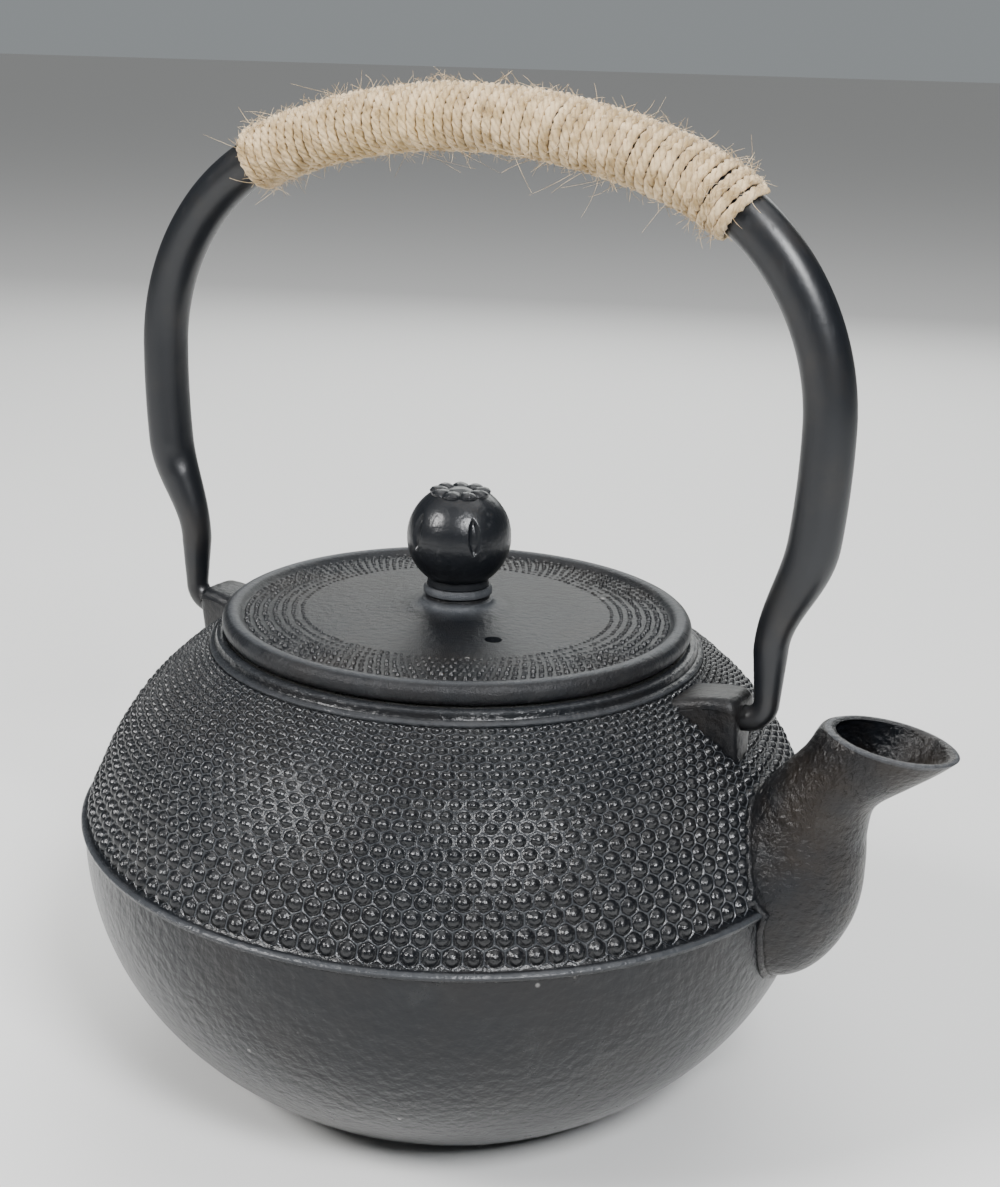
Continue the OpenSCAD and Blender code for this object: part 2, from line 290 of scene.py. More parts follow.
def lathe(name, profile, segments, worn=None, closed=False):
    """Turned solid from (radius, height) points. A closed profile is a ring of metal."""
    verts, faces, wear_and_highlight_values, rings = [], [], [], []
    for i, (r, z) in enumerate(profile):
        at_pole = r < 1e-7
        points = [(0, 0, z)] if at_pole else [(r * math.cos(a), r * math.sin(a), z)
                                              for a in angles(segments)]
        rings.append(range(len(verts), len(verts) + len(points)))
        verts += points
        wear_and_highlight_values += [worn[i] if worn else 0.0] * len(points)
    pairs = list(zip(rings, rings[1:])) + ([(rings[-1], rings[0])] if closed else [])
    for lower, upper in pairs:
        if len(lower) == len(upper) == 1:
            continue
        for j in range(segments):
            k = (j + 1) % segments
            if len(lower) == 1:
                faces.append((lower[0], upper[k], upper[j]))
            elif len(upper) == 1:
                faces.append((lower[j], lower[k], upper[0]))
            else:
                faces.append((lower[j], lower[k], upper[k], upper[j]))
    return solid(name, verts, faces, wear_and_highlight_values if worn else None)


def tube(name, rings, closed=False, worn=None, sharp=None):
    """Solid through equal loops. Fans close its ends, or its last loop joins its first."""
    n, count = len(rings[0]), len(rings)
    verts = [v for ring in rings for v in ring]
    faces = []
    for i in range(count if closed else count - 1):
        a, b = i * n, (i + 1) % count * n
        faces += [(a + j, a + (j + 1) % n, b + (j + 1) % n, b + j) for j in range(n)]
    for i, step in () if closed else ((0, -1), (count - 1, 1)):
        verts.append(sum(rings[i], Vector()) / n)
        centre = len(verts) - 1
        faces += [(i * n + j, i * n + (j + 1) % n, centre)[::step] for j in range(n)]
    return solid(name, verts, faces, worn, sharp)


def apply_modifiers(obj):
    """Plain smooth mesh in place of the object's modifiers."""
    graph = bpy.context.evaluated_depsgraph_get()
    mesh = bpy.data.meshes.new_from_object(obj.evaluated_get(graph), depsgraph=graph)
    obj.modifiers.clear()
    old, obj.data = obj.data, mesh
    bpy.data.meshes.remove(old)
    mesh.name = obj.name
    mesh.polygons.foreach_set("use_smooth", [True] * len(mesh.polygons))


def cut(obj, cutters, sharp):
    for cutter in cutters:
        mod = obj.modifiers.new("cut", "BOOLEAN")
        mod.operation = "DIFFERENCE"
        mod.solver = "EXACT"
        mod.object = cutter
    apply_modifiers(obj)
    for cutter in cutters:
        bpy.data.objects.remove(cutter)
    obj.data.set_sharp_from_angle(angle=math.radians(sharp))


def finish_piece(obj, body, slot, material, *replaced):
    obj.data.materials.clear()
    obj.data.materials.append(material)
    obj.data.polygons.foreach_set("material_index", [0] * len(obj.data.polygons))
    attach(obj, body)
    if replaced:
        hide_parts(*replaced)


# ---------------------------------------------------------------- shared shapes

def spout_ring(u, inset, n, beak=0.0):
    """Section of the spout at a station, smaller by an inset in mm."""
    x, z, direction, depth, width = smooth_rows(SPOUT, u)
    t = math.radians(direction)

    def place(c, s):
        out = (depth - inset) * c
        side = (width - inset) * s * (1 - beak * max(0.0, c) ** 2)
        return Vector((x + out * math.sin(t), side, z - out * math.cos(t))) * MM
    return loop(n, place)


def shoulder_curve(s, n=60):
    R, Z, C, H = s.ridge_radius, s.ridge_height, s.collar_radius, s.collar_height
    return bezier((R - 0.0019, Z + 0.0016), (R - 0.0068, Z + 0.0145),
                  (C + 0.019, H - 0.0155), (C + 0.0011, H - 0.003), n)


def outer_profile(s):
    """Outside of the pot from the base to the collar, and the wear value of each point."""
    R, Z, C, H = s.ridge_radius, s.ridge_height, s.collar_radius, s.collar_height
    B = s.base_radius
    bowl = bezier((B, 0.0), (B + 0.016, 0.0095), (R - 0.0008, Z - 0.032),
                  (R - 0.0008, Z - 0.0006), 46)
    foot = [(0.0, 0.0), (B * 0.5, 0.0), (B - 0.0006, 0.0), (B + 0.0006, 0.00045)]
    ridge = [(R - 0.0004, Z - 0.0004), (R - 0.0001, Z - 0.0001), (R, Z + 0.0003),
             (R, Z + 0.0006), (R - 0.0003, Z + 0.001), (R - 0.0008, Z + 0.0012),
             (R - 0.0014, Z + 0.0012)]
    bead = [(C + 0.0013, H - 0.00265), (C + 0.0013, H - 0.0023), (C + 0.0009, H - 0.0019),
            (C + 0.0002, H - 0.0017), (C, H - 0.0014), (C - 0.0001, H - 0.0008),
            (C - 0.0003, H - 0.0003), (C - 0.0008, H)]
    below = foot + bowl[2:]
    shoulder = shoulder_curve(s)
    worn = ([0.0] * len(below) + [0.0, 0.1, 0.3, 0.6, 0.6, 0.25, 0.0]
            + [0.0] * len(shoulder) + [0.3, 0.45, 0.3, 0.1, 0.0, 0.0, 0.3, 0.2])
    return below + ridge + shoulder + bead, worn


def inner_profile(s):
    """Inside of the pot from its floor to the throat of the collar."""
    R, Z, C, H, w = s.ridge_radius, s.ridge_height, s.collar_radius, s.collar_height, s.wall
    bowl = bezier((s.base_radius - 0.0002, INNER_FLOOR), (s.base_radius + 0.0144, 0.0123),
                  (R - w - 0.0009, Z - 0.0304), (R - w - 0.0009, Z - 0.001), 40)
    shoulder = bezier((R - w - 0.0012, Z + 0.001), (R - w - 0.0066, Z + 0.0136),
                      (C + 0.0192 - w, H - 0.0142 - w), (C - 0.0009, H - COLLAR_WALL - w), 36)
    return bowl + shoulder


def radius_at(profile, z):
    """Largest radius of a profile at a height."""
    best = 0.0
    for (r0, z0), (r1, z1) in zip(profile, profile[1:]):
        if min(z0, z1) <= z <= max(z0, z1) and z0 != z1:
            best = max(best, r0 + (r1 - r0) * (z - z0) / (z1 - z0))
    return best


def socket_cutter(s, side):
    """Rod that bores the socket of one lug."""
    return tube("socket cutter", [
        loop(48, lambda c, d: (side * x, SOCKET_RADIUS * c, s.pivot_height + SOCKET_RADIUS * d))
        for x in SOCKET_ENDS])


def bail_path(step=0.9):
    """Centre line of the bail in the XZ plane, left socket to right: (point, radius)."""
    top_arc, top_half, rise = 140.0, 50, 211.2
    hook_x, pivot, hook_r, pin = 68.7, 93.0, 4.6, 2.62
    half, leg_r, leg_a = 82.4, 188.0, math.radians(7)
    thick, thin, thin_height = 5.25, 3.5, 15
    pin_length, closest = 8.6, 0.12
    top_a = math.asin(top_half / top_arc)
    corner_r = (half - top_half) / (1 - top_half / top_arc)
    corner_x = top_half - corner_r * top_half / top_arc
    corner_z = rise - top_arc + (top_arc - corner_r) * math.cos(top_a)
    pts = []

    def arc(x0, z0, r, a0, a1, radius):
        n = max(2, int(abs(a1 - a0) * r / step))
        for i in range(n + 1):
            a = a0 + (a1 - a0) * i / n
            pts.append((x0 + r * math.cos(a), z0 + r * math.sin(a), radius))

    arc(0, rise - top_arc, top_arc, math.pi / 2, math.pi / 2 - top_a, thick)
    arc(corner_x, corner_z, corner_r, math.pi / 2 - top_a, 0, thick)
    arc(half - leg_r, corner_z, leg_r, 0, -leg_a, thick)
    # S-bend of the leg, drawn down to the hook
    leg = Vector(pts[-1][:2])
    low = Vector((hook_x + hook_r + 0.1, pivot + thin_height))
    end = Vector((hook_x + hook_r, pivot + hook_r))
    reach = (low - leg).length
    away = leg + Vector((-math.sin(leg_a), -math.cos(leg_a))) * reach * 0.34
    back = low + Vector((0.02, 1)) * reach * 0.36
    n = int(reach / step)
    for i, (x, z) in enumerate(bezier(leg, away, back, low, n)[1:], 1):
        t = i / n
        pts.append((x, z, thick + (thin - thick) * t * t * (3 - 2 * t)))
    n = int((low.y - end.y) / step)
    for i in range(1, n + 1):
        x, z = low.lerp(end, i / n)
        pts.append((x, z, thin + (pin - thin) * i / n))
    arc(hook_x, pivot + hook_r, hook_r, 0, -math.pi / 2, pin)
    pts += [(hook_x - pin_length * i / 8, pivot, pin) for i in range(1, 9)]
    clean = [pts[0]]
    for p in pts[1:]:
        if math.hypot(p[0] - clean[-1][0], p[1] - clean[-1][1]) > closest:
            clean.append(p)
    right = [(Vector((x, 0, z)) * MM, r * MM) for x, z, r in clean]
    return [(Vector((-p.x, 0, p.z)), r) for p, r in reversed(right[1:])] + right


# ---------------------------------------------------------------- nodes

def add(tree, kind, inputs=None, **settings):
    """New node. Its inputs, by name or number, are set to values or linked to sockets."""
    node = tree.nodes.new(kind)
    for key, value in settings.items():
        setattr(node, key, value)
    for key, value in (inputs or {}).items():
        if isinstance(value, bpy.types.NodeSocket):
            tree.links.new(value, node.inputs[key])
        else:
            node.inputs[key].default_value = value
    return node


def node_group(name, kind, inputs, outputs):
    """Tree with named sockets; returns it with its inner input sockets and identifiers."""
    tree = bpy.data.node_groups.new(name, kind)
    keys = []
    for label, socket_kind, value in inputs:
        socket = tree.interface.new_socket(label, in_out="INPUT",
                                           socket_type="NodeSocket" + socket_kind)
        if value is not None:
            socket.default_value = value
        keys.append(socket.identifier)
    for label, socket_kind in outputs:
        tree.interface.new_socket(label, in_out="OUTPUT", socket_type="NodeSocket" + socket_kind)
    return tree, add(tree, "NodeGroupInput").outputs, keys


def ramp(tree, source, low, high, invert=False):
    return add(tree, "ShaderNodeMapRange", {
        "Value": source, "From Min": low, "From Max": high, "To Min": 1.0 if invert else 0.0,
        "To Max": 0.0 if invert else 1.0}, interpolation_type="SMOOTHSTEP").outputs["Result"]


def maths(tree, operation, a, b):
    return add(tree, "ShaderNodeMath", {0: a, 1: b}, operation=operation).outputs[0]


def mix_colour(tree, factor, a, b):
    return add(tree, "ShaderNodeMix", {0: factor, 6: a, 7: b}, data_type="RGBA").outputs[2]


def noise(tree, vector, scale, detail=2.0, rough=0.5):
    return add(tree, "ShaderNodeTexNoise", {
        "Vector": vector, "Scale": scale, "Detail": detail, "Roughness": rough}).outputs["Fac"]


def stretched(tree, vector, z_scale):
    return add(tree, "ShaderNodeMapping", {
        "Vector": vector, "Scale": (1.0, 1.0, z_scale)}).outputs["Vector"]


def casting_group():
    """Orange-peel height, dust and rub masks of a sand cast surface."""
    tree, given, _ = node_group(
        "Casting Skin", "ShaderNodeTree",
        [("Vector", "Vector", None), ("Peel Scale", "Float", 900.0), ("Grain", "Float", 0.4),
         ("Dust Amount", "Float", 0.3)],
        [("Height", "Float"), ("Dust", "Float"), ("Patch", "Float"), ("Specks", "Float")])
    vec = given["Vector"]
    peel = noise(tree, vec, given["Peel Scale"])
    cell = add(tree, "ShaderNodeTexVoronoi", {
        "Vector": vec, "Scale": maths(tree, "MULTIPLY", given["Peel Scale"], 0.55)},
        feature="SMOOTH_F1").outputs["Distance"]
    height = maths(tree, "ADD", maths(tree, "MULTIPLY", peel, 0.8),
                   maths(tree, "MULTIPLY", cell, 0.55))
    fine = noise(tree, vec, 3600.0, 2.0, 0.6)
    dusty = ramp(tree, noise(tree, vec, 120.0, 5.0, 0.65), 0.5, 0.78)
    dots = add(tree, "ShaderNodeTexVoronoi", {"Vector": vec, "Scale": 190.0},
               feature="F1").outputs["Distance"]
    add(tree, "NodeGroupOutput", {
        "Height": maths(tree, "ADD", height, maths(tree, "MULTIPLY", fine, given["Grain"])),
        "Patch": ramp(tree, noise(tree, vec, 42.0, 4.0, 0.6), 0.38, 0.68),
        "Dust": maths(tree, "MULTIPLY", dusty, given["Dust Amount"]),
        "Specks": maths(tree, "MULTIPLY", ramp(tree, dots, 0.06, 0.13, invert=True),
                        ramp(tree, noise(tree, vec, 31.0, 3.0, 0.6), 0.60, 0.66))})
    return tree


def fibre_group():
    """Fine fibre height, tone and stain of jute."""
    tree, given, _ = node_group(
        "Jute Fibre", "ShaderNodeTree",
        [("Vector", "Vector", None), ("Fibre Scale", "Float", 900.0)],
        [("Height", "Float"), ("Tone", "Float"), ("Stain", "Float")])
    vec = given["Vector"]
    add(tree, "NodeGroupOutput", {
        "Height": noise(tree, vec, given["Fibre Scale"], 4.0, 0.7),
        "Tone": ramp(tree, noise(tree, vec, 260.0, 4.0, 0.65), 0.32, 0.68),
        "Stain": ramp(tree, noise(tree, vec, 38.0, 2.0, 0.5), 0.55, 0.72)})
    return tree


# ---------------------------------------------------------------- materials

def start_material(name):
    mat = bpy.data.materials.new(name)
    mat.use_nodes = True
    mat.node_tree.nodes.clear()
    return mat, mat.node_tree, add(mat.node_tree, "ShaderNodeTexCoord").outputs["Object"]


def surface(mat, inputs, height=None, strength=0.0, distance=0.0003):
    """Principled surface of a material, with a bump where a height is given."""
    tree = mat.node_tree
    if height is not None:
        inputs["Normal"] = add(tree, "ShaderNodeBump", {
            "Height": height, "Strength": strength, "Distance": distance}).outputs["Normal"]
    skin = add(tree, "ShaderNodeBsdfPrincipled", inputs)
    add(tree, "ShaderNodeOutputMaterial", {"Surface": skin.outputs[0]})
    return mat


def rgba(colour):
    return tuple(colour) + (1.0,)


def iron_material(name, peel, grain, bump, rough, dust, warm, speck, shine, edge=None):
    """Blackened casting. Edge is how far the worn attribute shows, where there is one: rubbed
    coating, and on the hobnail borders also a painted highlight.
    """
    c = bpy.context.scene.teapot_colours
    mat, tree, vec = start_material(name)
    skin = add(tree, "ShaderNodeGroup",
               node_tree=bpy.data.node_groups.get("Casting Skin") or casting_group())
    tree.links.new(vec, skin.inputs["Vector"])
    for key, value in (("Peel Scale", peel), ("Grain", grain), ("Dust Amount", dust)):
        skin.inputs[key].default_value = value
    masks = skin.outputs
    base = mix_colour(tree, maths(tree, "MULTIPLY", masks["Patch"], warm),
                      rgba(c.iron), rgba(c.rust))
    base = mix_colour(tree, maths(tree, "MULTIPLY", masks["Dust"], 0.5), base,
                      (0.075, 0.078, 0.078, 1.0))
    base = mix_colour(tree, maths(tree, "MULTIPLY", masks["Specks"], 0.55 * speck), base,
                      (0.45, 0.44, 0.42, 1.0))
    gloss = maths(tree, "ADD", rough[0],
                  maths(tree, "MULTIPLY", masks["Dust"], rough[1] - rough[0]))
    if edge:
        worn = add(tree, "ShaderNodeAttribute", attribute_name="worn").outputs["Fac"]
        broken = maths(tree, "ADD", 0.45, noise(tree, vec, 420.0, 4.0, 0.7))
        mask = maths(tree, "MULTIPLY", maths(tree, "MULTIPLY", worn, broken), edge)
        mask = maths(tree, "MINIMUM", mask, 1.0)
        base = mix_colour(tree, mask, base, rgba(c.worn))
        gloss = maths(tree, "ADD", gloss, maths(tree, "MULTIPLY", mask, 0.08))
    return surface(mat, {"Base Color": base, "Roughness": gloss, "Specular IOR Level": shine},
                   masks["Height"], bump, 0.0005)


def knob_material():
    c = bpy.context.scene.teapot_colours
    mat, tree, vec = start_material("Knob Gloss Black")
    rubbed = ramp(tree, noise(tree, vec, 260.0, 4.0, 0.6), 0.62, 0.74)
    cloud = maths(tree, "MULTIPLY", noise(tree, vec, 320.0, 3.0), 0.14)
    return surface(mat, {
        "Base Color": mix_colour(tree, rubbed, rgba(c.knob), (0.03, 0.031, 0.033, 1.0)),
        "Roughness": maths(tree, "ADD", 0.24, cloud),
        "Specular IOR Level": 0.45}, noise(tree, vec, 900.0, 3.0), 0.3)


def tube_material():
    c = bpy.context.scene.teapot_colours
    mat, tree, vec = start_material("Bail Satin Black")
    streak = ramp(tree, noise(tree, stretched(tree, vec, 0.12), 900.0, 3.0, 0.6), 0.58, 0.75)
    patch = ramp(tree, noise(tree, vec, 90.0, 4.0, 0.6), 0.45, 0.75)
    return surface(mat, {
        "Base Color": mix_colour(tree, maths(tree, "MULTIPLY", patch, 0.5), rgba(c.tube),
                                 (0.021, 0.018, 0.015, 1.0)),
        "Roughness": maths(tree, "ADD", 0.36, maths(tree, "MULTIPLY", streak, 0.12))},
        noise(tree, vec, 700.0, 3.0, 0.6), 0.12)


def steel_material():
    mat, tree, vec = start_material("Infuser Steel")
    line = noise(tree, stretched(tree, vec, 14.0), 420.0, 3.0, 0.6)
    stain = ramp(tree, noise(tree, vec, 60.0, 3.0), 0.5, 0.8)
    return surface(mat, {
        "Base Color": mix_colour(tree, stain, (0.58, 0.58, 0.57, 1.0), (0.44, 0.42, 0.38, 1.0)),
        "Roughness": maths(tree, "ADD", 0.2, maths(tree, "MULTIPLY", line, 0.18)),
        "Metallic": 1.0}, line, 0.06, 0.0001)


def jute_material(name, pale=0.0):
    jute = bpy.context.scene.teapot_colours.jute
    mat, tree, vec = start_material(name)
    fibre = add(tree, "ShaderNodeGroup",
                node_tree=bpy.data.node_groups.get("Jute Fibre") or fibre_group())
    tree.links.new(vec, fibre.inputs["Vector"])
    fibre.inputs["Fibre Scale"].default_value = 2600.0
    deep = rgba(v * f for v, f in zip(jute, (0.62, 0.56, 0.46)))
    light = rgba(min(1.0, v * f + pale) for v, f in zip(jute, (1.16, 1.17, 1.24)))
    base = mix_colour(tree, fibre.outputs["Tone"], deep, light)
    base = mix_colour(tree, maths(tree, "MULTIPLY", fibre.outputs["Stain"], 0.35), base,
                      (0.70, 0.50, 0.22, 1.0))
    return surface(mat, {
        "Base Color": base, "Roughness": 0.92, "Specular IOR Level": 0.2, "Sheen Weight": 0.35,
        "Sheen Roughness": 0.5}, fibre.outputs["Height"], 0.55)


# ---------------------------------------------------------------- repeated pieces

def close_tree(tree, geometry, material):
    real = add(tree, "GeometryNodeRealizeInstances", {0: geometry})
    painted = add(tree, "GeometryNodeSetMaterial", {
        "Geometry": real.outputs[0], "Material": material})
    add(tree, "NodeGroupOutput", {0: painted.outputs[0]})


def named(tree, name, kind):
    return add(tree, "GeometryNodeInputNamedAttribute", {"Name": name}, data_type=kind).outputs[0]


def run_tree(obj, tree, inputs):
    """Run a geometry tree on an object, its inputs given by identifier, and keep the mesh."""
    mod = obj.modifiers.new("build", "NODES")
    mod.node_group = tree
    for key, value in inputs.items():
        mod[key] = value
    apply_modifiers(obj)


def scatter_tree(name, material):
    """Tile on every seat point, turned and sized by the seat's attributes."""
    tree, given, keys = node_group(
        name, "GeometryNodeTree",
        [("Geometry", "Geometry", None), ("Tile", "Object", None), ("Height", "Float", 1.0)],
        [("Geometry", "Geometry")])
    tile = add(tree, "GeometryNodeObjectInfo", {"Object": given["Tile"]})
    turn = add(tree, "FunctionNodeEulerToRotation", {
        0: named(tree, "seat_turn", "FLOAT_VECTOR")})
    tall = add(tree, "ShaderNodeCombineXYZ", {0: 1.0, 1: 1.0, 2: given["Height"]})
    size = add(tree, "ShaderNodeVectorMath", {
        0: named(tree, "seat_size", "FLOAT_VECTOR"), 1: tall.outputs[0]}, operation="MULTIPLY")
    place = add(tree, "GeometryNodeInstanceOnPoints", {
        "Points": given["Geometry"], "Instance": tile.outputs["Geometry"],
        "Rotation": turn.outputs[0], "Scale": size.outputs[0]})
    close_tree(tree, place.outputs[0], material)
    return tree, keys[1:]


def scatter(name, seats, tile, tree, keys):
    """Object with the tile on every seat: (point, turn, size)."""
    points, turns, sizes = zip(*seats)
    obj = new_mesh(name, points, attributes={"seat_turn": turns, "seat_size": sizes})
    run_tree(obj, tree, dict(zip(keys, (tile, 1.0))))
    return obj


def strand_tree(name, material):
    """Round strand along every chain of edges, its radius from an attribute."""
    tree, given, keys = node_group(
        name, "GeometryNodeTree",
        [("Geometry", "Geometry", None), ("Sides", "Int", 6), ("Girth", "Float", 1.0)],
        [("Geometry", "Geometry")])
    line = add(tree, "GeometryNodeMeshToCurve", {0: given["Geometry"]})
    circle = add(tree, "GeometryNodeCurvePrimitiveCircle", {
        "Resolution": given["Sides"], "Radius": 1.0})
    girth = maths(tree, "MULTIPLY", named(tree, "girth", "FLOAT"), given["Girth"])
    sweep = add(tree, "GeometryNodeCurveToMesh", {
        "Curve": line.outputs[0], "Profile Curve": circle.outputs[0], "Scale": girth,
        "Fill Caps": True})
    close_tree(tree, sweep.outputs[0], material)
    return tree, keys[1:]


def strands(name, chains, sides, material):
    """Object with a strand along each chain of (point, girth)."""
    verts, edges, girths = [], [], []
    for chain in chains:
        start = len(verts)
        verts += [p for p, g in chain]
        girths += [g for p, g in chain]
        edges += [(start + i, start + i + 1) for i in range(len(chain) - 1)]
    obj = new_mesh(name, verts, edges=edges, attributes={"girth": girths})
    tree, keys = strand_tree(name + " strand", material)
    run_tree(obj, tree, dict(zip(keys, (sides, 1.0))))
    return obj


def seat_turn(point, profile_dir):
    """Euler angles of a frame with X round the pot, Y up the profile and Z outward."""
    a = math.atan2(point.y, point.x)
    round_pot = Vector((-math.sin(a), math.cos(a), 0))
    up = Vector((math.cos(a) * profile_dir[0], math.sin(a) * profile_dir[0], profile_dir[1]))
    up.normalize()
    return tuple(Matrix((round_pot, up, round_pot.cross(up))).transposed().to_euler())


def tile(name, rings, attributes=None):
    """Open dome with its tip at height 1, over loops of points."""
    n = len(rings[0])
    verts = [(0.0, 0.0, 1.0)] + [p for ring in rings for p in ring]
    faces = [(0, 1 + j, 1 + (j + 1) % n) for j in range(n)]
    for i in range(len(rings) - 1):
        a = 1 + i * n
        faces += [(a + j, a + n + j, a + n + (j + 1) % n, a + (j + 1) % n) for j in range(n)]
    return new_mesh(name, verts, faces, attributes=attributes)


def nail_tile():
    """One six sided cell: domed nail, dark moat and a thin raised border, painted paler as rubbed
    coating and as a painted highlight along its crest.
    """
    n = 12
    rings = [[(r * math.cos(a), r * math.sin(a), h) for a in angles(n)]
             for r, h in ((0.17, 0.93), (0.30, 0.66), (0.385, 0.16), (0.47, 0.02))]
    wear_and_highlight_values = [0.0] * (1 + n * len(rings))
    # the border rings get a wear value: paler rubbed coating, and also a painted highlight along
    # the crest
    for reach, h, worn in ((0.955, 0.235, 0.75), (1.0, 0.27, 1.0)):
        ring = []
        for a in angles(n):
            corner = 0.5 / math.cos((a + math.pi / 6) % (math.pi / 3) - math.pi / 6)
            ring.append((corner * reach * math.cos(a), corner * reach * math.sin(a), h))
        rings.append(ring)
        wear_and_highlight_values += [worn] * n
    return tile("nail tile", rings, {"worn": wear_and_highlight_values})


def dot_tile():
    return tile("dot tile", [[(r * math.cos(a), r * math.sin(a), h) for a in angles(6)]
                             for r, h in ((0.24, 0.72), (0.42, 0.0))])


def inside(tree, point):
    """Whether a point lies in a closed mesh, by counting the walls on a way out."""
    way = Vector((0.31, 0.9, 0.27)).normalized()
    walls, at = 0, point.copy()
    while True:
        hit = tree.ray_cast(at, way)[0]
        if hit is None:
            return walls % 2 == 1
        walls += 1
        at = hit + way * 1e-6


# ---------------------------------------------------------------- operators

class TEAPOT_OT_stage(bpy.types.Operator):
    """Camera, soft studio light and a plain pale floor"""
    bl_idname = "teapot.stage"
    bl_label = "Stage"

    def execute(self, context):
        scene = context.scene
        camera = bpy.data.cameras.new("camera")
        camera.sensor_width = 36.0
        camera.sensor_fit = "AUTO"
        camera.lens = CAMERA["lens"]
        camera.shift_x, camera.shift_y = CAMERA["shift"]
        camera.clip_start = 0.01
        obj = bpy.data.objects.new("camera", camera)
        obj.location = CAMERA["location"]
        obj.rotation_mode = "XYZ"
        obj.rotation_euler = [math.radians(v) for v in CAMERA["rotation"]]
        scene.collection.objects.link(obj)
        scene.camera = obj
        reach = 30
        floor = new_mesh("floor", [(-reach, -reach, 0), (reach, -reach, 0), (reach, reach, 0),
                                   (-reach, reach, 0)], [(0, 1, 2, 3)])
        floor.location = (0, 0, -0.0001)
        floor.data.materials.append(surface(start_material("Pale Floor")[0], {
            "Base Color": rgba(scene.teapot_colours.floor), "Roughness": 0.75}))
        for name, place, aim, size, power, colour in LIGHTS:
            data = bpy.data.lights.new(name, "AREA")
            data.shape = "RECTANGLE"
            data.size, data.size_y = size
            data.energy = power
            data.color = colour
            lamp = bpy.data.objects.new(name, data)
            lamp.location = place
            lamp.rotation_euler = (Vector(aim) - Vector(place)).to_track_quat("-Z", "Y").to_euler()
            scene.collection.objects.link(lamp)
        sun = bpy.data.lights.new("sky panel", "SUN")
        sun.energy = 0.75
        sun.angle = math.radians(100)
        lamp = bpy.data.objects.new("sky panel", sun)
        lamp.rotation_euler = (math.radians(12), math.radians(-8), 0)
        scene.collection.objects.link(lamp)
        scene.world = bpy.data.worlds.new("studio")
        scene.world.use_nodes = True
        tree = scene.world.node_tree
        back = tree.nodes["Background"]
        back.inputs["Color"].default_value = (0.60, 0.64, 0.66, 1.0)
        seen = add(tree, "ShaderNodeLightPath").outputs["Is Camera Ray"]
        tree.links.new(maths(tree, "ADD", maths(tree, "MULTIPLY", seen, 0.3), 0.14),
                       back.inputs["Strength"])
        return {"FINISHED"}


class TEAPOT_OT_pot(bpy.types.Operator):
    """Cast shell of the pot with its ridge, collar, mouth and hollow inside"""
    bl_idname = "teapot.pot"
    bl_label = "Pot shell"

    def execute(self, context):
        s = context.scene.teapot_pot
        outer, worn = outer_profile(s)
        H, M = s.collar_height, s.mouth_radius
        mouth = [(M + 0.0045, H), (M + 0.0042, H - 0.0001), (M + 0.0041, H - 0.0006),
                 (M + 0.0003, H - 0.0006), (M, H - 0.0008), (M, H - COLLAR_WALL - s.wall)]
        hollow = inner_profile(s)[::-1] + [(s.base_radius * 0.5, INNER_FLOOR),
                                           (0.0, INNER_FLOOR)]
        worn = worn + [0.25, 0.2] + [0.0] * (len(mouth) - 2 + len(hollow))
        shell = lathe("pot_shell", outer + mouth + hollow, 256, worn)
        bore = tube("bore", [spout_ring(u * 0.1, SPOUT_BORE_WALL, 48) for u in range(61)])
        cut(shell, [bore] + [socket_cutter(s, side) for side in (-1, 1)], 32)
        finish_piece(shell, "pot", "iron", iron_material(
            "Cast Iron Bowl", peel=640.0, grain=0.16, bump=0.75, rough=(0.25, 0.46), dust=0.22,
            warm=0.2, speck=1.0, shine=0.35, edge=1.0), "pot_body")
        return {"FINISHED"}


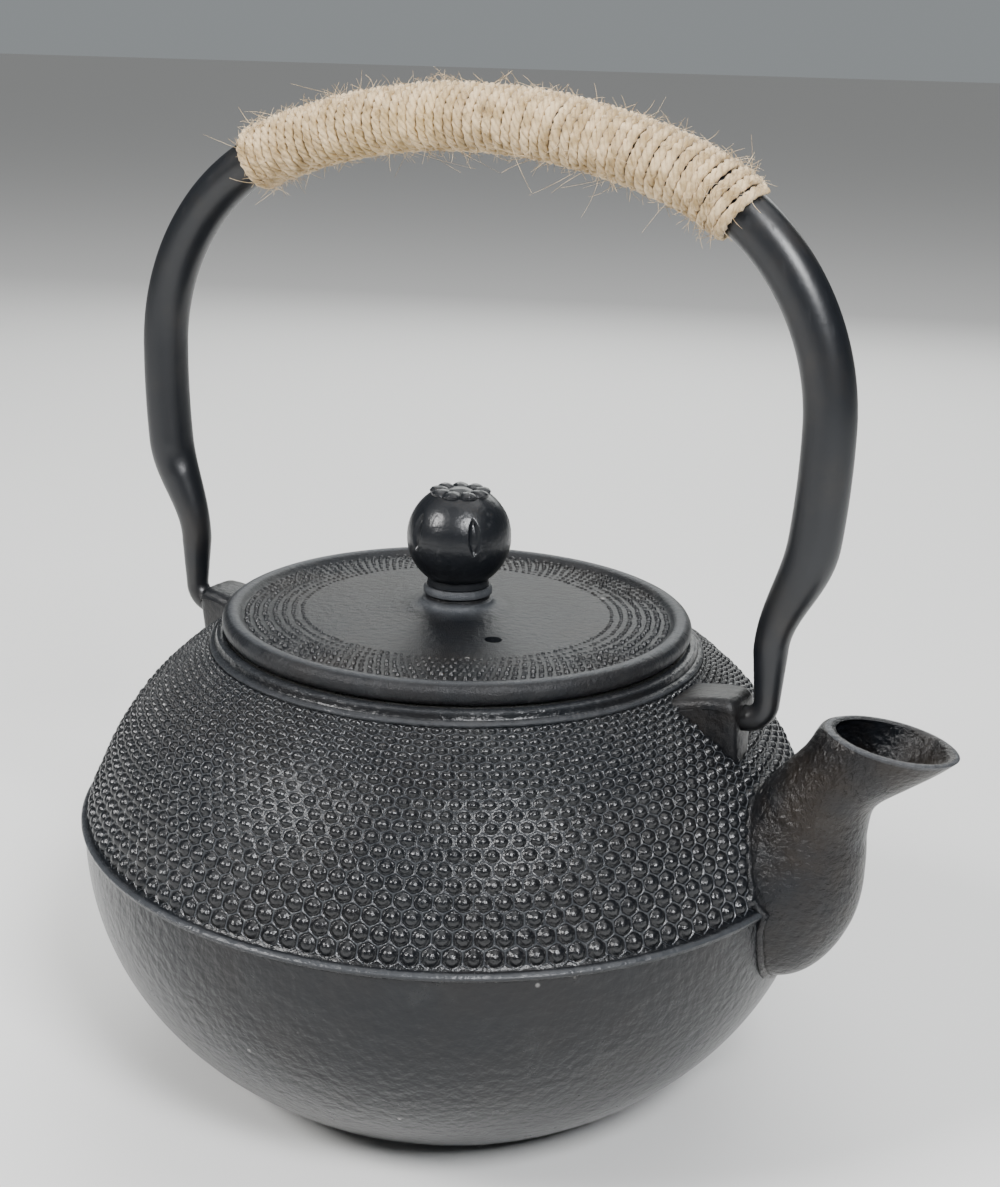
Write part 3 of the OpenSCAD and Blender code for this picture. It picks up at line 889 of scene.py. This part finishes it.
class TEAPOT_OT_spout(bpy.types.Operator):
    """Cast spout with its belly, waist, flared beak and the seam at its root"""
    bl_idname = "teapot.spout"
    bl_label = "Spout"

    def execute(self, context):
        s = context.scene.teapot_pot
        n, steps, first, last = 72, 84, 0.2, 7.985
        outer, inner = [], []
        for i in range(steps + 1):
            u = first + (last - first) * i / steps
            flare = max(0.0, (u - 6.0) / 2.0)
            beak = 0.03 * flare ** 1.6
            outer.append(spout_ring(u, 0.0, n, beak))
            inner.append(spout_ring(u, SPOUT_BORE_WALL - SPOUT_LIP_THINNER * flare, n, beak))
        t = math.radians(smooth_rows(SPOUT, last)[2])
        along_spout = Vector((math.cos(t), 0, math.sin(t)))
        lip = [[a.lerp(b, f) + along_spout * h * MM for a, b in zip(outer[-1], inner[-1])]
               for f, h in ((0.12, 0.16), (0.34, 0.30), (0.6, 0.30), (0.86, 0.12))]
        rings = outer + lip + inner[::-1]
        worn = []
        for i in range(len(rings)):
            worn += [1.0 if len(outer) - 2 <= i <= len(outer) + 1 else 0.0] * n
        spout = tube("pot_spout", rings, closed=True, worn=worn)
        hollow = lathe("hollow", [(0.0, INNER_FLOOR)] + inner_profile(s)
                       + [(0.0, s.collar_height - COLLAR_WALL - s.wall)], 160)
        cut(spout, [hollow], 40)
        iron = iron_material(
            "Cast Iron Spout", peel=980.0, grain=0.3, bump=0.95, rough=(0.26, 0.46), dust=0.2,
            warm=0.8, speck=0.9, shine=0.35, edge=0.7)
        finish_piece(spout, "pot", "iron", iron)
        # seam along the points where the spout leaves the shell
        shell = outer_profile(s)[0]
        seam = []
        for j in range(n):
            for i in range(4, 60):
                p, q = outer[i][j], outer[i - 1][j]
                beyond = math.hypot(p.x, p.y) - radius_at(shell, p.z)
                if beyond > 0:
                    before = math.hypot(q.x, q.y) - radius_at(shell, q.z)
                    seam.append(q.lerp(p, -before / (beyond - before)))
                    break
        rings = []
        for j, p in enumerate(seam):
            tangent = (seam[(j + 1) % len(seam)] - seam[j - 1]).normalized()
            side = tangent.cross(Vector((p.x, p.y, 0)).normalized()).normalized()
            out = side.cross(tangent).normalized()
            rings.append(loop(10, lambda c, d: p + (out * c * 0.95 + side * d * 1.1) * MM))
        finish_piece(tube("spout_seam", rings, closed=True), "pot", "iron", iron)
        return {"FINISHED"}


def lug_half(x, z, s):
    """Half width of a lug at a place along its length and a height, in mm."""
    inward = max(0.0, (s.lug_face / MM - x) / 14.0)
    down = max(0.0, (LUG_TOP - z) / 16.0)
    tip = 6.0 - 3.0 * down
    root = 7.2 + 5.0 * down
    return tip + (root - tip) * min(1.0, inward) ** 1.7


class TEAPOT_OT_lugs(bpy.types.Operator):
    """Two wedge shaped lugs with the sockets that carry the bail"""
    bl_idname = "teapot.lugs"
    bl_label = "Lugs"

    def execute(self, context):
        s = context.scene.teapot_pot
        face = s.lug_face / MM
        # place along the lug, drop of its top, narrowing of its sides, in mm
        stations = [(x, 0, 0) for x in range(52, 66, 2)] + [
            (66, 0.05, 0), (face - 1.6, 0.2, 0.08), (face - 0.8, 0.6, 0.3),
            (face - 0.25, 1.15, 0.7), (face, 1.8, 1.2)]
        iron = iron_material("Cast Iron Lug", peel=820.0, grain=0.4, bump=0.5,
                             rough=(0.34, 0.5), dust=0.2, warm=0.5, speck=0.3, shine=0.25)
        for side, name in ((1, "lug_right"), (-1, "lug_left")):
            rings = []
            for x, drop, slim in stations:
                top = LUG_TOP - drop - 0.045 * max(0.0, 66 - x) ** 1.6
                base = 78.0 if x > 58 else 88.0
                heights = [base + (top - 2.4 - base) * i / 9 for i in range(10)]
                half = [(lug_half(x, z, s) - slim, z) for z in heights]
                w = lug_half(x, top, s) - slim
                half += [(w - LUG_ROUND * (1 - math.cos(a)),
                          top - LUG_ROUND + LUG_ROUND * math.sin(a))
                         for a in [math.pi / 12 * k for k in range(7)]]
                half += [(w * 0.4, top + 0.12 * (1 - 0.4)), (0.0, top + 0.1)]
                full = half + [(-y, z) for y, z in reversed(half[:-1])]
                rings.append([Vector((side * x, y, z)) * MM for y, z in full])
            lug = tube(name, rings)
            cut(lug, [socket_cutter(s, side)], 34)
            finish_piece(lug, "pot", "iron", iron)
        return {"FINISHED"}


class TEAPOT_OT_hobnails(bpy.types.Operator):
    """Staggered rows of hobnails in their honeycomb over the shoulder"""
    bl_idname = "teapot.hobnails"
    bl_label = "Hobnails"

    def execute(self, context):
        s = context.scene.teapot_pot
        h = context.scene.teapot_nails
        rng = random.Random(h.seed)
        lower_rows, cell_length, covered, sunk = 9, 1.155, 0.18, 0.00012
        curve = [Vector(p) for p in shoulder_curve(s, 400)]
        lengths = arc_lengths(curve)
        first = lengths[-1] / sum(h.shrink ** k for k in range(h.rows))
        form = tube("spout form", [spout_ring(u * 0.1, 0.0, 48) for u in range(61)])
        blockers = [BVHTree.FromPolygons([v.co for v in piece.data.vertices],
                                         [tuple(p.vertices) for p in piece.data.polygons])
                    for piece in (form, bpy.data.objects["lug_left"],
                                  bpy.data.objects["lug_right"])]
        bpy.data.objects.remove(form)
        groups = {"hobnails_lower": [], "hobnails_upper": []}
        at = 0.0
        for row in range(h.rows):
            step = first * h.shrink ** row
            p, d = along(curve, lengths, at + step * 0.5)
            at += step
            pitch = 2 * math.pi * p.x / h.per_row
            bulk = 0.55 + 0.45 * (1 - row / h.rows)
            for j in range(h.per_row):
                a = 2 * math.pi * (j + 0.5 * (row % 2)) / h.per_row
                c = Vector((p.x * math.cos(a), p.x * math.sin(a), p.y))
                out = Vector((math.cos(a) * d.y, math.sin(a) * d.y, -d.x))
                probe = c + out * 0.0004
                if any(inside(tree, probe) and tree.find_nearest(probe)[3] > pitch * covered
                       for tree in blockers):
                    continue
                grow = 1 + rng.uniform(-0.035, 0.035)
                tall = h.height * bulk * (1 + rng.uniform(-0.12, 0.12))
                key = "hobnails_lower" if row < lower_rows else "hobnails_upper"
                groups[key].append((c - out * sunk, seat_turn(c, (d.x, d.y)),
                                    (pitch, step * cell_length, tall * grow)))
        # the borders of the nails take the paler wear colour, partly rubbed coating and partly a
        # painted highlight
        iron = iron_material("Cast Iron Hobnail", peel=1500.0, grain=0.5, bump=0.3,
                             rough=(0.2, 0.4), dust=0.22, warm=0.15, speck=0.3, shine=0.5,
                             edge=0.9)
        nail = nail_tile()
        tree, keys = scatter_tree("Hobnail Field", iron)
        for name, seats in groups.items():
            finish_piece(scatter(name, seats, nail, tree, keys), "pot", "iron", iron)
        bpy.data.objects.remove(nail)
        return {"FINISHED"}


def dotted_ring(s, p):
    """Top of the lid from its cone to its rim: (radius, height)."""
    R, Z = s.radius, p.collar_height + s.bead
    return [(R * 0.66, Z + 0.0017), (R * 0.80, Z + 0.0014), (R * 0.90, Z + 0.0009),
            (R, Z + 0.001)]


def lid_height(s, p, r):
    rows = dotted_ring(s, p)
    if r <= rows[0][0]:
        return rows[0][1] + (rows[0][0] - r) * 0.036
    for (r0, z0), (r1, z1) in zip(rows, rows[1:]):
        if r <= r1:
            return z0 + (z1 - z0) * (r - r0) / (r1 - r0)
    return rows[-1][1]


class TEAPOT_OT_lid(bpy.types.Operator):
    """Lid with a rolled rim, rows of small dots, a vent hole and a short neck"""
    bl_idname = "teapot.lid"
    bl_label = "Lid"

    def execute(self, context):
        s = context.scene.teapot_lid
        p = context.scene.teapot_pot
        R, B, H, K = s.radius, s.bead, p.collar_height, s.knob_radius
        Z = H + B
        rim, worn = [], []
        for k in range(15):
            a = math.radians(-95 + 235 * k / 14)
            rim.append((R - B + B * math.cos(a), Z + B * math.sin(a)))
            worn.append(0.6 if 60 < math.degrees(a) < 118 else 0.1)
        flat = [(R - B - 0.0024, Z + 0.0010)] + dotted_ring(s, p)[2::-1]
        cone = bezier((R * 0.6, Z + 0.0018), (R * 0.42, Z + 0.0020), (K * 1.35, Z + 0.0021),
                      (K * 1.05, Z + 0.0026), 14)
        neck = bezier((K * 0.98, Z + 0.0028), (K * 0.82, Z + 0.0032), (K * 0.72, Z + 0.0034),
                      (K * 0.69, Z + 0.0041), 6)
        groove = [(K * 0.68, Z + 0.0046), (K * 0.62, Z + 0.0050), (K * 0.61, Z + 0.0055),
                  (K * 0.66, Z + 0.0060), (K * 0.66, s.neck_top - 0.0006),
                  (K * 0.62, s.neck_top), (0.0022, s.neck_top)]
        ring_in, ring_out, ring_low = BASKET_RADIUS - 0.0042, BASKET_RADIUS - 0.0018, H - 0.005
        under = [(0.0022, Z + 0.0002), (K * 1.1, Z + 0.0002), (R * 0.66, Z - 0.0008),
                 (ring_in, H + 0.0005), (ring_in, ring_low), (ring_out, ring_low),
                 (ring_out, H + 0.0003), (R - B - 0.0014, H + 0.0003), (R - B - 0.0012, H)]
        worn += ([0.0] * (len(flat) + len(cone)) + [0.1, 0.2, 0.3, 0.5, 0.7, 0.9, 1.0]
                 + [0.8, 0.1, 0.0, 0.7, 1.0, 0.6, 0.0] + [0.0] * len(under))
        lid = lathe("lid_plate", rim + flat + cone + neck + groove + under, 240, worn,
                    closed=True)
        hole = Vector((VENT_PLACE, 0, 0))
        hole.rotate(Quaternion((0, 0, 1), math.radians(VENT_ANGLE)))
        vent = tube("vent cutter", [
            loop(40, lambda c, d: (hole.x + VENT_RADIUS * c, hole.y + VENT_RADIUS * d, z))
            for z in (H, H + 0.012)])
        cut(lid, [vent], 38)
        finish_piece(lid, "lid", "iron", iron_material(
            "Cast Iron Lid", peel=900.0, grain=0.5, bump=0.5, rough=(0.36, 0.56), dust=0.3,
            warm=0.3, speck=1.0, shine=0.22, edge=1.0), "lid")
        dots = []
        rng = random.Random(5)
        off, sunk = 0.00012, 0.00012
        for row in range(s.dot_rows):
            f = row / (s.dot_rows - 1)
            r = R * (0.895 - 0.235 * f)
            pitch = 2 * math.pi * r / s.dots_per_row
            fade = 0.55 + 0.45 * math.sin(math.pi * min(1.0, 0.25 + f))
            for j in range(s.dots_per_row):
                a = 2 * math.pi * (j + 0.5 * (row % 2)) / s.dots_per_row
                c = Vector((r * math.cos(a), r * math.sin(a), 0))
                c.x += rng.uniform(-1, 1) * off
                c.y += rng.uniform(-1, 1) * off
                c.z = lid_height(s, p, math.hypot(c.x, c.y)) - sunk
                w = pitch * 0.92 * rng.uniform(0.82, 1.1)
                dots.append((c, seat_turn(c, (-1.0, 0.09)),
                             (w, w * 1.05, 0.00092 * fade * rng.uniform(0.6, 1.2))))
        iron = iron_material("Cast Iron Lid Dot", peel=1600.0, grain=0.5, bump=0.3,
                             rough=(0.3, 0.5), dust=0.4, warm=0.35, speck=0.3, shine=0.4)
        dot = dot_tile()
        finish_piece(scatter("lid_dots", dots, dot, *scatter_tree("Lid Dots", iron)),
                     "lid", "iron", iron)
        bpy.data.objects.remove(dot)
        return {"FINISHED"}


class TEAPOT_OT_knob(bpy.types.Operator):
    """Ball knob with a scalloped flower cap and pointed recesses"""
    bl_idname = "teapot.knob"
    bl_label = "Knob"

    def execute(self, context):
        s = context.scene.teapot_lid
        K = s.knob_radius
        centre = s.neck_top - 0.0005 + K
        seg, rows, slits, petals = 384, 96, 5, 9
        low, high = math.radians(-54), math.radians(57)
        rings = [loop(seg, lambda c, d: (r * K * c, r * K * d, centre + z))
                 for r, z in ((0.55, -K + 0.0005), (0.60, -K + 0.0007), (0.60, -0.93 * K),
                              (0.585, -0.86 * K))]
        for i in range(rows + 1):
            phi = low + (high - low) * i / rows
            tilt = math.degrees(phi)
            t = abs((tilt - 12) / 21)
            width = 0.1 * (1 - t ** 2) ** 0.8 if t < 1 else 0.0
            parting = 0.00004 * math.exp(-(tilt / 1.3) ** 2)
            ring = []
            for a in angles(seg):
                x = abs((a * slits / (2 * math.pi) + 0.09) % 1.0 - 0.5) / max(width, 0.001)
                depth = 0.0008 * (1 - x ** 3) * min(1.0, width * 20) if t < 1 and x < 1 else 0.0
                r = K - depth - parting
                ring.append(Vector((r * math.cos(phi) * math.cos(a),
                                    r * math.cos(phi) * math.sin(a),
                                    centre + r * math.sin(phi))))
            rings.append(ring)
        top, cap = centre + K * math.sin(high), 0.55 * K
        profile = [(cap + 0.0003, top - 0.0001), (cap + 0.0004, top + 0.0005),
                   (cap, top + 0.001), (cap * 0.86, top + 0.0013), (cap * 0.66, top + 0.0013),
                   (cap * 0.5, top + 0.001), (cap * 0.44, top + 0.0006),
                   (cap * 0.36, top + 0.0008), (cap * 0.22, top + 0.0012)]
        for k, (r, z) in enumerate(profile):
            ring = []
            for a in angles(seg):
                fold = (1 - abs(math.cos(a * petals / 2))) ** 2
                scallop = 1 - 0.1 * fold if k < 4 else 1.0
                dip = 0.0006 * fold if 1 <= k <= 5 else 0.0
                crease = 0.0002 * abs(math.sin(a * petals / 2)) if 2 <= k <= 4 else 0.0
                ring.append(Vector((r * scallop * math.cos(a), r * scallop * math.sin(a),
                                    min(z - dip - crease, KNOB_HIGH.z))))
            rings.append(ring)
        finish_piece(tube("knob_ball", rings, sharp=50), "lid", "knob_black", knob_material(),
                     "lid_knob")
        return {"FINISHED"}


class TEAPOT_OT_bail(bpy.types.Operator):
    """Bent tube bail with drawn down legs hooked into the lugs"""
    bl_idname = "teapot.bail"
    bl_label = "Bail"

    def execute(self, context):
        path = bail_path()
        side = Vector((0, 1, 0))
        dent_height, dent_half, dent_depth, dent_angle = 0.127, 0.0035, 0.0004, 2.4
        rings = []
        for i, (p, r) in enumerate(path):
            t = (path[min(len(path) - 1, i + 1)][0] - path[max(0, i - 1)][0]).normalized()
            up = t.cross(side).normalized()
            off = abs(p.z - dent_height)
            deep = dent_depth * (1 - (off / dent_half) ** 2) if p.x < -0.06 and off < dent_half \
                else 0.0
            rings.append([p + (up * math.cos(q) + side * math.sin(q))
                          * (r - deep * max(0.0, math.cos(q + dent_angle)) ** 6)
                          for q in angles(40)])
        for index in (0, -1):
            rings[index] = [path[index][0] + (v - path[index][0]) * 0.8 for v in rings[index]]
        finish_piece(tube("bail_tube", rings), "bail", "handle_black", tube_material(),
                     "handle_tube")
        return {"FINISHED"}


class TEAPOT_OT_twine(bpy.types.Operator):
    """Twisted jute twine wound round the grip, with stray fibres"""
    bl_idname = "teapot.twine"
    bl_label = "Twine wrap"

    def execute(self, context):
        s = context.scene.teapot_bail
        rng = random.Random(s.seed)
        path = [p for p, r in bail_path(0.4) if p.z > 0.175]
        lengths = arc_lengths(path)
        start, stop = [next(l for p, l in zip(path, lengths) if p.x > x) for x in TWINE_ENDS]
        side = Vector((0, 1, 0))
        pitch = (stop - start) / s.turns
        per_turn, twists = 36, 7.2
        total = s.turns * per_turn
        jitter = [rng.uniform(-1, 1) for _ in range(s.turns + 3)]
        lift = [rng.uniform(-1, 1) for _ in range(s.turns + 3)]
        ply_radius, orbit = 0.00060, 0.00056
        tube_radius = s.tube_radius + 0.00008
        chains = [[] for _ in range(s.plies)]
        centre_line = []
        for i in range(total + 1):
            turn = i / per_turn
            k = int(turn)
            f = turn - k
            wobble = jitter[k] * (1 - f) + jitter[k + 1] * f
            rise = lift[k] * (1 - f) + lift[k + 1] * f
            p, t = along(path, lengths, start + pitch * turn + wobble * pitch * 0.10)
            up = side.cross(t).normalized()
            if up.z < 0:
                up.negate()
            q = 2 * math.pi * turn
            out = up * math.cos(q) + side * math.sin(q)
            c = p + out * (tube_radius + 0.00108 + 0.00010 * rise)
            centre_line.append((c, out, t))
            for m in range(s.plies):
                w = -2 * math.pi * (turn * twists + m / s.plies)
                o = out * math.cos(w) * orbit * 0.82 + t * math.sin(w) * orbit * 1.22
                girth = 1 + 0.10 * math.sin(i * 0.37 + m * 2.1) + rng.uniform(-0.04, 0.04)
                chains[m].append((c + o, ply_radius * girth))
        jute = jute_material("Jute Twine")
        finish_piece(strands("twine_coil", chains, 7, jute), "bail", "twine", jute,
                     "twine_wrap")
        # stray fibres, thicker near the ends of the coil
        hairs = []
        end_part, top_limit = 130, CAD_BOX[1][2] + 0.004
        for _ in range(s.stray):
            i = rng.randrange(2, total - 2)
            if rng.random() < 0.16:
                i = rng.choice((rng.randrange(2, end_part),
                                rng.randrange(total - end_part, total - 2)))
            c, out, t = centre_line[i]
            around = out.cross(t)
            base = c + out * 0.0008 + t * rng.uniform(-0.0008, 0.0008)
            long = rng.random() < 0.035
            length = rng.uniform(0.006, 0.014) if long else rng.uniform(0.0012, 0.0045)
            lean = (around * rng.uniform(-1, 1) + t * rng.uniform(-0.8, 0.8)
                    + out * rng.uniform(0.05, 0.75)).normalized()
            curl = (around * rng.uniform(-1, 1) + t * rng.uniform(-1, 1)
                    + out * rng.uniform(-0.6, 0.3)) * rng.uniform(0.2, 1.0)
            steps = 7 if long else 4
            chain = []
            for k in range(steps + 1):
                f = k / steps
                p = base + lean * length * f + curl * length * 0.6 * f * f
                p.z = min(p.z, top_limit)
                chain.append((p, (0.00006 if long else 0.00007) * (1 - 0.55 * f)))
            hairs.append(chain)
        pale = jute_material("Jute Fibre Pale", 0.06)
        finish_piece(strands("twine_fibres", hairs, 3, pale), "bail", "twine", pale)
        return {"FINISHED"}


class TEAPOT_OT_infuser(bpy.types.Operator):
    """Brushed steel finish for the infuser basket, knob screw and washer"""
    bl_idname = "teapot.infuser"
    bl_label = "Infuser"

    def execute(self, context):
        steel = steel_material()
        for name in ("infuser_rim", "infuser_wall", "infuser_base", "knob_screw", "knob_washer"):
            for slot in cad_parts[name].material_slots:
                slot.material = steel
        return {"FINISHED"}


class TEAPOT_PT_panel(bpy.types.Panel):
    """Sizes, colours and pieces of the teapot"""
    bl_idname = "TEAPOT_PT_panel"
    bl_label = "Cast Iron Teapot"
    bl_space_type = "VIEW_3D"
    bl_region_type = "UI"
    bl_category = "Teapot"

    def draw(self, context):
        for name, title, group in GROUPS:
            box = self.layout.box()
            box.label(text=title)
            for key in group.__annotations__:
                box.prop(getattr(context.scene, name), key)
        for operator in OPERATORS:
            self.layout.operator(operator.bl_idname)


GROUPS = (("teapot_pot", "Pot", PotSizes), ("teapot_nails", "Hobnails", HobnailSizes),
          ("teapot_lid", "Lid and knob", LidSizes), ("teapot_bail", "Bail and twine", BailSizes),
          ("teapot_colours", "Colours", TeapotColours))
OPERATORS = (TEAPOT_OT_stage, TEAPOT_OT_pot, TEAPOT_OT_spout, TEAPOT_OT_lugs,
             TEAPOT_OT_hobnails, TEAPOT_OT_lid, TEAPOT_OT_knob, TEAPOT_OT_bail,
             TEAPOT_OT_twine, TEAPOT_OT_infuser)


def register():
    for name, title, group in GROUPS:
        bpy.utils.register_class(group)
        setattr(bpy.types.Scene, name, PointerProperty(type=group))
    for operator in OPERATORS:
        bpy.utils.register_class(operator)
    bpy.utils.register_class(TEAPOT_PT_panel)


def unregister():
    bpy.utils.unregister_class(TEAPOT_PT_panel)
    for operator in reversed(OPERATORS):
        bpy.utils.unregister_class(operator)
    for name, title, group in reversed(GROUPS):
        delattr(bpy.types.Scene, name)
        bpy.utils.unregister_class(group)


def main():
    register()
    for operator in OPERATORS:
        family, name = operator.bl_idname.split(".")
        getattr(getattr(bpy.ops, family), name)()


if __name__ == "__main__":
    main()
